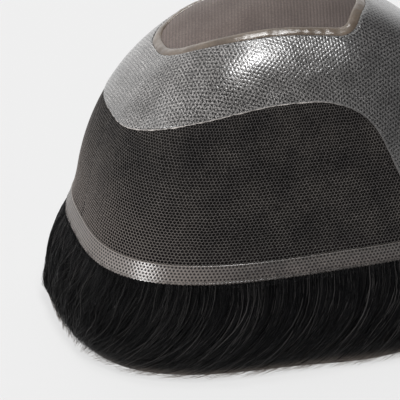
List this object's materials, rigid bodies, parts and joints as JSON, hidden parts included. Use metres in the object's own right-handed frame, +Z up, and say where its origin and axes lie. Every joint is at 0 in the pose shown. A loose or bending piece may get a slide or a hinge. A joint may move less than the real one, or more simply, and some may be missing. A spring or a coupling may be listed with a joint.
{
  "type": "toupee hairpiece",
  "caption": "Toupee turned base side out: a domed base of dark lace, clear grey skin and fine crown mesh with ribbon and hem, standing on its fall of black hair.",
  "frame": {"origin": "on the surface that the hair rests on, under the middle of the piece", "axes": "+Z up to the crown; -Y towards the front hairline, +Y towards the back; +X is the right side of the dome as it stands"},
  "size_m": [0.1248, 0.1775, 0.12],
  "materials": {
    "lace": "dark hexagonal net over black hair",
    "skin": "clear polyurethane coat on grey gauze, glossy",
    "crown_mesh": "fine brown-grey monofilament mesh, matt",
    "ribbon": "beige woven binding ribbon, satin",
    "hem": "grey-beige net binding with a light sheen",
    "hair": "black hair with a soft grey sheen"
  },
  "bodies": {
    "root": {"lace_front": "lace", "skin_panel": "skin", "crown_window": "crown_mesh", "window_ribbon": "ribbon", "edge_hem": "hem", "hair": "hair"}
  },
  "joints": []
}
